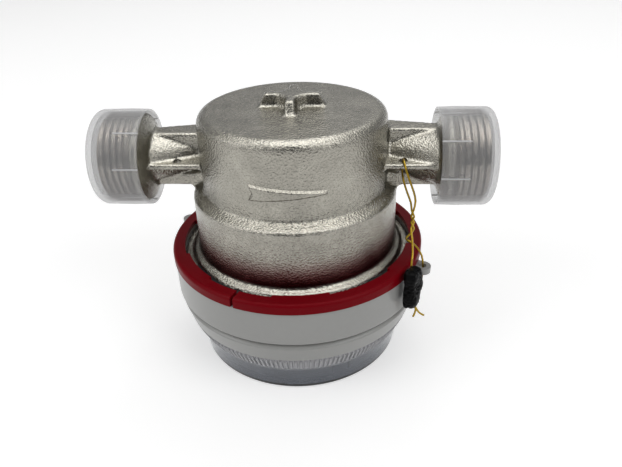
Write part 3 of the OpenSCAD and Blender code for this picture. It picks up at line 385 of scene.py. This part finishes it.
cup = np.concatenate([
    [[0, base_z]], arc(24.4, 73.7, 2.8, 90, 0), [[cup_r, 54.3], [29.4, 53.1]], arc(29.4, 52, 1, 62, 0),
    [[30.4, 35.1], [31.4, 34.6]], arc(31.5, 33.9, 0.75, 62, 0),
    [[32.3, 33.2], [35.3, 33.2], [35.3, 32.6], [0, 32.6]]])
spigot = [[0, 41.4], [8.4, 41.4], [10.4, 42.1], [12.6, 43.2], [13, 43.9], [13, 44.8], [12.05, 45.6],
          [12.05, 54.2], [11.25, 55], [0, 55]]
casting_shells = [turned(cup, 192), base_cross()]
for side, (large_r, reach, front) in neck_form.items():
    low = -rib_reach - worn
    upper_rib = [[rib_in_x, 2.4], [rib_out_x, 5.4], [rib_out_x, reach], [rib_in_x, reach]]
    lower_rib = np.concatenate([[[rib_in_x, -3.4], [rib_out_x, -6.4], [rib_out_x, low]],
                                arc(32, low - 1.6, 1.6, 90, 180), [[rib_in_x, low - 1.6]]])
    front_web = [[21.2, low], [rib_out_x, low], [rib_out_x, -6.2], [24, 3.2], [21.2, 3.2]]
    back_web = [[24, 7.4], [rib_out_x, 6.4], [rib_out_x, -low], [24, -low]]
    casting_shells += [
        turned(np.array(spigot) * (1, side), 128, along_x=True),
        neck(side, large_r, 4.0, 42.6, neck_lean), rib(side, upper_rib, front),
        rib(side, lower_rib, -2.0 - worn), web(side, front_web), web(side, back_web),
    ]
cast = worked(mesh_of("casting_skin", casting_shells), [
    ("REMESH", {"mode": "VOXEL", "voxel_size": casting_voxel * 0.001}),
    ("SMOOTH", {"factor": 0.5, "iterations": 4})])
places = np.empty(len(cast.vertices) * 3, np.float32)
normals = np.empty_like(places)
cast.vertices.foreach_get("co", places)
cast.vertex_normals.foreach_get("vector", normals)
places, normals = places.reshape(-1, 3), normals.reshape(-1, 3)
on_necks = np.clip((np.abs(places[:, 0]) - necks_from) / necks_fade, 0, 1)
rough = ((cup_ripple + neck_ripple * on_necks) * ripple(places * 1000, 1.1, 7)
         + broad_ripple * ripple(places * 1000, 3.0, 8))
cast.vertices.foreach_set("co", (places + normals * rough[:, None] * 0.001).astype(np.float32).ravel())

chamber = [[0, 31], [26.5, 31], [26.5, 46], [25.8, 46], [25.8, 50], [23, 50], [23, 73], [0, 73]]
drill = turned([[0, pipe_z - 3], [seal_hole_r, pipe_z - 3], [seal_hole_r, pipe_z + 3],
                [0, pipe_z + 3]], 40)
carved = [("UNION", flow_arrow()), ("DIFFERENCE", turned(chamber, 128))]
carved += [("DIFFERENCE", (drill[0] + (x, y, 0), drill[1])) for x, y in seal_holes]
for side in (1, -1):
    bore = np.array([[0, 44], [7.5, 44], [7.5, 56], [0, 56]]) * (1, side)
    carved += [("DIFFERENCE", turned(bore, 96, along_x=True)),
               ("DIFFERENCE", neck(side, 5.8, 2.8, 44.5, passage_lean))]
tools = [(way, link(bpy.data.objects.new("carver", mesh_of("carver", [shell]))))
         for way, shell in carved]
cast = worked(cast, [("BOOLEAN", {"object": tool, "operation": way, "solver": "MANIFOLD"})
                     for way, tool in tools])
for way, tool in tools:
    bpy.data.objects.remove(tool)
cast.name = "casting_skin"
nickel_skin = finish("sandy_nickel", nickel, 0.14, 0.6, 1900.0, 0.00026, Metallic=1.0)
# Painted reflection: the nickel's base colour turns dark red just above the ring, standing in for the ring's
# mirror image.
tree = nickel_skin.node_tree
skin = tree.nodes["Principled BSDF"]
plain = skin.inputs["Base Color"].links[0].from_socket
place = add(tree, "ShaderNodeTexCoord").outputs["Object"]
height = add(tree, "ShaderNodeSeparateXYZ", {0: place}).outputs["Z"]
above = add(tree, "ShaderNodeMapRange", {"Value": height, "From Min": reflection_from, "From Max": reflection_full},
            interpolation_type="SMOOTHSTEP")
below = add(tree, "ShaderNodeMapRange", {
    "Value": height, "From Min": reflection_from, "From Max": reflection_to, "To Min": 1.0, "To Max": 0.0},
    interpolation_type="SMOOTHSTEP")
reflection_mask = add(tree, "ShaderNodeMath", {0: above.outputs[0], 1: below.outputs[0]}, operation="MULTIPLY")
painted_reflection = add(tree, "ShaderNodeMix", data_type="RGBA")
for socket, value in ((0, reflection_mask.outputs[0]), (6, plain)):
    tree.links.new(value, painted_reflection.inputs[socket])
painted_reflection.inputs[7].default_value = painted_ring_reflection
tree.links.new(painted_reflection.outputs[2], skin.inputs["Base Color"])
casting = piece("casting_skin", cast, "casing", nickel_skin, crease=50,
                stands_for=["meter_body"])
# Painted shade: the flange faces at the front are black, standing in for the shade in the gap under the
# ring.
casting.data.materials.append(finish("painted_gap_shade", (0.006, 0.006, 0.006, 1), 0.7, 0.3, 1600.0, 0.00003))
for face in casting.data.polygons:
    x, y, z = face.center
    face.material_index = int(y < gap_y and z < gap_z and np.hypot(x, y) > gap_r)


# Pipe threads: eleven turns to the inch cut on both spigots, a pitch of 1.8 mm, with bright flanks that
# shine through the caps. The second thread is the first one turned half round, so both are right-handed.
thread_core, thread_crest, thread_pitch = 12.05, 13.22, 1.814
thread_from, thread_to, run_out = 45.4, 54.6, 1.0
thread_rows, thread_steps, flank_bias, sleeve_wall = 120, 144, 0.25, 0.3


def pipe_thread(turn):
    """Helix on the spigot: radius between core and crest by the cosine of turns along the pipe less turns
    round it, fading out at both ends; a plain wall closes the sleeve inside."""
    x = np.linspace(thread_from, thread_to, thread_rows)
    a = np.linspace(0, 2 * np.pi, thread_steps, endpoint=False)
    wave = np.cos(2 * np.pi * x[:, None] / thread_pitch - a)
    flank = np.clip(flank_bias + wave, 0, 1)
    fade = np.clip(np.minimum(x - thread_from, thread_to - x) / run_out, 0, 1)[:, None]
    r = np.concatenate([thread_core + (thread_crest - thread_core) * flank * fade,
                        np.full((2, thread_steps), thread_core - sleeve_wall)])
    x = np.append(x, [thread_to, thread_from])[:, None] + 0 * a
    points = np.stack([turn * x, turn * r * np.cos(a), pipe_z + r * np.sin(a)], -1)
    return points.reshape(-1, 3), grid_faces(thread_rows + 2, thread_steps, True)


bright_nickel = finish("cut_nickel", (0.34, 0.305, 0.265, 1), 0.17, 0.12, 900.0, 0.00002, Metallic=1.0)
for name, turn in (("outlet_thread", 1), ("inlet_thread", -1)):
    piece(name, [pipe_thread(turn)], "casing", bright_nickel, crease=60)


# Measuring chamber: a moulded impeller turns on a steel pin and carries a ring magnet; a brass plate with
# a rubber ring and a screwed lock ring closes the wet side, and a basket strains the inlet.
brass_plate = finish("turned_brass", (0.62, 0.43, 0.17, 1), 0.3, 0.15, 1500.0, 0.00002, Metallic=1.0)
pin_steel = finish("ground_steel", (0.52, 0.52, 0.53, 1), 0.22, 0.1, 2500.0, 0.00001, Metallic=1.0)
wheel_white = finish("moulded_white", (0.72, 0.72, 0.69, 1), 0.42, 0.08, 900.0, 0.00002)
ring_magnet = finish("ferrite", (0.035, 0.034, 0.036, 1), 0.55, 0.3, 2200.0, 0.00004)
rubber = finish("black_rubber", (0.015, 0.015, 0.016, 1), 0.7, 0.3, 1600.0, 0.00003)
jewel_red = finish("bearing_jewel", (0.35, 0.02, 0.05, 1), 0.08, 0.1, 900.0, 0.000005)
by_slot = {}
for part in frame["record"]["subparts"]:
    by_slot.setdefault(part["material_slot"], []).append(part["node"])
for slot, material in (("nickel_casting", nickel_skin), ("brass", brass_plate), ("steel", pin_steel),
                       ("white_moulding", wheel_white), ("magnet", ring_magnet), ("black_rubber", rubber),
                       ("jewel", jewel_red)):
    coat(material, *by_slot[slot])


# Register: a train of moulded wheels between two plates, number wheels with printed figures, four red
# pointers and a white dial, all hanging under the housing and read from below.
gear_cream = finish("gear_plastic", (0.66, 0.62, 0.5, 1), 0.4, 0.08, 900.0, 0.00001)
drum_black = finish("number_wheel_black", (0.02, 0.02, 0.021, 1), 0.45, 0.2, 1500.0, 0.00001)
dial_white = finish("dial_white", (0.8, 0.8, 0.79, 1), 0.5, 0.05, 1200.0, 0.00001)
pointer_red = finish("pointer_red", (0.55, 0.012, 0.015, 1), 0.4, 0.1, 1200.0, 0.00001)
for slot, material in (("gear_plastic", gear_cream), ("black_drum", drum_black),
                       ("white_dial", dial_white), ("red_marks", pointer_red)):
    coat(material, *by_slot[slot])
wheel_r, wheel_pitch, wheel_y, wheel_z, figure_size = 4.3, 4.2, -8.0, 12.0, 3.0
dial_z, ink, text_strips = 6.0, 0.02, 9
window_half_x, window_half_y, window_line = 10.25, 3.1, 0.25
figures_r, ticks_r, tick_size, small_text, factor_out = 4.5, 3.4, (0.18, 0.7), 1.5, 6.9
pointer_places = ((-11.935, 9.086), (-2.789, 14.738), (7.789, 12.819), (14.366, 4.315))


def lettering(text, size):
    """Text as a thin closed plate in millimetres, (right, up, out), cut across into strips to bend it."""
    curve = bpy.data.curves.new("lettering", "FONT")
    curve.body, curve.size, curve.extrude = text, size, ink
    curve.align_x, curve.align_y = "CENTER", "CENTER"
    mesh = worked(curve, [])
    work = bmesh.new()
    work.from_mesh(mesh)
    for level in np.linspace(-size / 2, size / 2, text_strips):
        bmesh.ops.bisect_plane(work, geom=work.verts[:] + work.edges[:] + work.faces[:],
                               plane_co=(0, level, 0), plane_no=(0, 1, 0))
    work.to_mesh(mesh)
    work.free()
    points = np.empty(len(mesh.vertices) * 3, np.float32)
    mesh.vertices.foreach_get("co", points)
    return points.reshape(-1, 3), [list(face.vertices) for face in mesh.polygons]


def wheel_figures(number):
    """Figures 0 to 9 round a number wheel: each plate bent on the wheel's radius where it faces the dial,
    read from below with its top to the front, then turned by a tenth of a turn per figure."""
    shells = []
    for digit in range(10):
        points, faces = digit_plates[digit]
        u, v, w = points.T
        r = wheel_r + 0.5 * ink + w
        a = np.radians(36 * digit) - v / wheel_r
        x = (3 - number) * wheel_pitch - 0.05 + u
        shells.append((np.stack([x, wheel_y + r * np.sin(a), wheel_z - r * np.cos(a)], 1), faces))
    return shells


def dial_bar(middle, size, turn):
    """Printed bar of that size, turned about its middle."""
    u, v = np.array([[-1, -1], [1, -1], [1, 1], [-1, 1]]).T * np.array(size)[:, None] / 2
    x = middle[0] + u * np.cos(turn) - v * np.sin(turn)
    y = middle[1] + u * np.sin(turn) + v * np.cos(turn)
    return lofted([np.stack([x, y, 0 * x + z], 1) for z in (dial_z - ink, dial_z + ink)])


def dial_text(text, size, place):
    """Text printed on the dial, read from below with its top to the front."""
    points, faces = lettering(text, size)
    u, v, w = points.T
    return np.stack([place[0] + u, place[1] - v, dial_z + w], 1), faces


digit_plates = [lettering(str(digit), figure_size) for digit in range(10)]
figure_white = finish("figure_white", (0.8, 0.8, 0.78, 1), 0.5, 0.05, 1200.0, 0.000005)
print_black = finish("print_black", (0.012, 0.012, 0.013, 1), 0.5, 0.1, 1200.0, 0.000005)
for number in range(1, 6):
    piece(f"wheel_figures_{number}", wheel_figures(number), f"number_wheel_{number}",
          figure_white)
dial_marks = [dial_text("m\u00b3", figure_size, (13.2, wheel_y))]
dial_marks += [dial_bar((0, wheel_y + side * window_half_y), (20.6, window_line), 0) for side in (-1, 1)]
dial_marks += [dial_bar((side * window_half_x, wheel_y), (window_line, 6.45), 0) for side in (-1, 1)]
for order, (x, y) in enumerate(pointer_places):
    outward = 1 + factor_out / np.hypot(x, y)
    dial_marks.append(dial_text("x0." + "0" * order + "1", small_text, (x * outward, y * outward)))
    for digit in range(10):
        a = np.radians(36 * digit)
        across, along = np.sin(a), -np.cos(a)
        dial_marks.append(dial_text(str(digit), small_text, (x + figures_r * across, y + figures_r * along)))
        dial_marks.append(dial_bar((x + ticks_r * across, y + ticks_r * along), tick_size, a))
piece("dial_print", dial_marks, "casing", print_black)


# Housing: grey moulded plastic with a flared upper wall, a groove round it and a rounded band below, and
# two eyes for the seal.
housing_grey = finish("moulded_grey", (0.33, 0.33, 0.32, 1), 0.28, 0.05, 700.0, 0.00001,
                      Specular_IOR_Level=0.4)
coat(housing_grey, *by_slot["grey_plastic"])


# Clamp ring: red moulded plastic, split at the front, whose tabs hold the casting's flange.
ring_red = finish("clamp_red", (0.165, 0.0006, 0.0045, 1), 0.35, 0.08, 800.0, 0.00002,
                  Specular_IOR_Level=0.06)
coat(ring_red, *by_slot["red_plastic"])


# Dial cover: clear moulding snapped into the housing from below, with a grip band of fine upright flutes.
flute_count, flute_rise, flute_from, flute_to, flute_ramp = 156, 0.6, 8.9, 13.9, 0.3
slope_from, slope_to, slope_first, slope_rows = 7.35, 14.75, 9, 30
grip_r, grip_top = 0.0322, 14.7


def dial_cover():
    """Cover profile carried round, with the outer wall pushed out by a rounded wave of the angle between
    the flutes' lower and upper ends."""
    slope_h = np.linspace(slope_from, slope_to, slope_rows)
    slope = np.stack([32.5 + (slope_h - slope_from) * 3.5 / 7.4, slope_h], 1)
    profile = np.concatenate([
        [[0, 0], [16, 0]], arc(31.1, 0.8, 0.8, -90, 0), slope,
        [[34.6, slope_to], [34.6, 19.5], [33, 19.5], [33, 13.15], [31.2, slope_from], [30.9, 0.9],
         [16, 0.9], [0, 0.9]]])
    steps = flute_count * 6
    points, faces = turned(profile, steps)
    rows = points.reshape(len(profile), steps, 3)
    a = np.linspace(0, 2 * np.pi, steps, endpoint=False)
    wall = np.arange(len(profile))
    on_slope = (wall >= slope_first) & (wall < slope_first + slope_rows)
    inside = np.minimum(profile[:, 1] - flute_from, flute_to - profile[:, 1])
    ramp = np.clip(inside / flute_ramp, 0, 1) * on_slope
    push = flute_rise * ramp[:, None] * np.clip(0.5 + 0.9 * np.cos(flute_count * a), 0, 1)
    rows[..., 0] += push * np.cos(a)
    rows[..., 1] += push * np.sin(a)
    return rows.reshape(-1, 3), faces


# Painted shade: the clear cover's grey-blue tint darkens the register seen through it, standing in for the
# shade inside the housing.
clear_cover = finish("clear_cover", (0.33, 0.35, 0.39, 1), 0.08, 0.05, 500.0, 0.000004,
                     Transmission_Weight=1.0, IOR=1.49)
frosted_grip = finish("frosted_grip", (0.45, 0.45, 0.47, 1), 0.2, 0.1, 1200.0, 0.00001,
                      Transmission_Weight=0.35, IOR=1.49)
cover = piece("cover_skin", [dial_cover()], "casing", clear_cover, crease=35,
              stands_for=["dial_cover"])
cover.data.materials.append(frosted_grip)
for face in cover.data.polygons:
    outside = np.hypot(*face.center[:2]) > grip_r
    face.material_index = int(outside and flute_from - 0.2 < face.center.z * 1000 < grip_top)


# Thread caps: thin milky plastic pushed over the threads, with a rounded closed end and short grip bars
# inside the rim.
cap_end_x, cap_r, cap_wall, cap_bars = 57.0, 14.2, 0.8, 8
bar_half, bar_in_r, bar_out_r, bar_end_x = 0.2, 13.25, 13.45, 49.2
# By cap: its side, where its rim starts, how far out it sits, and the turn of its first grip bar in degrees.
cap_set = (("outlet_cap", 1, 41.3, 0.0, 5), ("inlet_cap", -1, 41.8, 0.8, -7))


def thread_cap(side, rim_x, out):
    """Cap profile of (radius, x) carried round the pipe, slimmer at both ends, pushed out along it."""
    profile = np.concatenate([
        [[cap_r - cap_wall, rim_x], [cap_r - 0.15, rim_x], [cap_r, rim_x + 5]],
        arc(11.7, 54.6, 2.4, 8, 90, 10), [[0, cap_end_x], [0, 55.6]], arc(11.2, 53.4, 2.2, 90, 0, 10)])
    return [turned((profile + (0, out)) * (1, side), 144, along_x=True, loop=True)]


def cap_grips(side, rim_x, out, turn):
    """Bars of half the cap's length inside its rim, spread evenly from a first one at that turn."""
    shells = []
    for a in np.radians(turn) + 2 * np.pi * np.arange(cap_bars) / cap_bars:
        ring = np.array([[-bar_half, bar_in_r], [bar_half, bar_in_r], [bar_half, bar_out_r],
                         [-bar_half, bar_out_r]])
        y = ring[:, 0] * np.cos(a) - ring[:, 1] * np.sin(a)
        z = ring[:, 0] * np.sin(a) + ring[:, 1] * np.cos(a)
        shells.append(lofted([np.stack([0 * y + side * (x + out), y, pipe_z + z], 1)
                              for x in (rim_x, bar_end_x)]))
    return shells


milky_cap = bpy.data.materials.new("milky_cap")
milky_cap.use_nodes = True
tree = milky_cap.node_tree
tree.nodes.clear()
grain = add(tree, "ShaderNodeGroup", node_tree=surface_grain)
for socket, value in (("Colour", (0.55, 0.55, 0.555, 1)), ("Mottle", 0.1), ("Size", 300.0),
                      ("Roughness", 0.3)):
    grain.inputs[socket].default_value = value
edge = add(tree, "ShaderNodeLayerWeight", {"Blend": 0.35})
veil = add(tree, "ShaderNodeMapRange", {"Value": edge.outputs["Facing"], "To Min": 0.2, "To Max": 0.62})
skin = add(tree, "ShaderNodeBsdfPrincipled", {
    "Base Color": grain.outputs["Colour"], "Roughness": grain.outputs["Roughness"],
    "Alpha": veil.outputs[0], "IOR": 1.45})
add(tree, "ShaderNodeOutputMaterial", {"Surface": skin.outputs[0]})
grip_white = finish("cap_grip", (0.7, 0.7, 0.71, 1), 0.3, 0.1, 300.0, 0.00001)
for name, side, rim_x, out, turn in cap_set:
    piece(name + "_skin", thread_cap(side, rim_x, out), name, milky_cap, crease=50,
          stands_for=[name])
    piece(name + "_grips", cap_grips(side, rim_x, out, turn), name, grip_white)


# Seal: brass wire, drawn through the web and the housing's eye and twisted, with both ends crimped in a
# black lump of soft metal.
seal_brass = finish("seal_brass", (0.36, 0.235, 0.025, 1), 0.34, 0.2, 1500.0, 0.00002, Metallic=1.0)
coat(seal_brass, *by_slot["brass_wire"])
seal_middle = np.array([34.42, -23.05, 31.0])
seal_turn = np.radians(58.2)
seal_half, seal_rows, seal_steps, seal_square = (3.2, 2.1, 6.2), 80, 120, 3.2


def crimped_seal():
    """Lump of about 6.4 by 4.2 by 12.4 mm: a rounded box whose rings shrink at both ends, pinched in
    twice and crumpled by noise away from its middle."""
    h = np.sin(np.linspace(-np.pi / 2, np.pi / 2, seal_rows))
    a = np.linspace(0, 2 * np.pi, seal_steps, endpoint=False)
    wide = (1 - np.abs(h) ** 6) ** (1 / 6)
    pinch = 1 - 0.06 * np.exp(-((h - 0.36) / 0.2) ** 2) - 0.06 * np.exp(-((h + 0.3) / 0.2) ** 2)
    lobe = (np.abs(np.cos(a)) ** seal_square + np.abs(np.sin(a)) ** seal_square) ** (-1 / seal_square)
    x = seal_half[0] * (wide * (0.9 + 0.1 * pinch))[:, None] * lobe * np.cos(a)
    y = seal_half[1] * (wide * pinch)[:, None] * lobe * np.sin(a)
    z = seal_half[2] * h[:, None] + 0 * a
    points = np.stack([x, y, z], -1)
    flat = points.reshape(-1, 3)
    crumple = 0.16 * ripple(flat, 5.0, 3) - 0.17 * np.abs(ripple(flat, 1.7, 4))
    points += (points / (np.linalg.norm(points, axis=-1, keepdims=True) + 1e-9)
               * (crumple.reshape(seal_rows, seal_steps) * wide[:, None])[..., None])
    spin = np.array([[np.cos(seal_turn), -np.sin(seal_turn), 0], [np.sin(seal_turn), np.cos(seal_turn), 0],
                     [0, 0, 1]])
    return points.reshape(-1, 3) @ spin.T + seal_middle, grid_faces(seal_rows, seal_steps, False)


seal_black = finish("seal_black", (0.002, 0.002, 0.0022, 1), 0.36, 0.5, 1200.0, 0.0001,
                    Specular_IOR_Level=0.06)
piece("seal_lump", [crimped_seal()], "casing", seal_black, crease=50,
      stands_for=["wire_seal"])
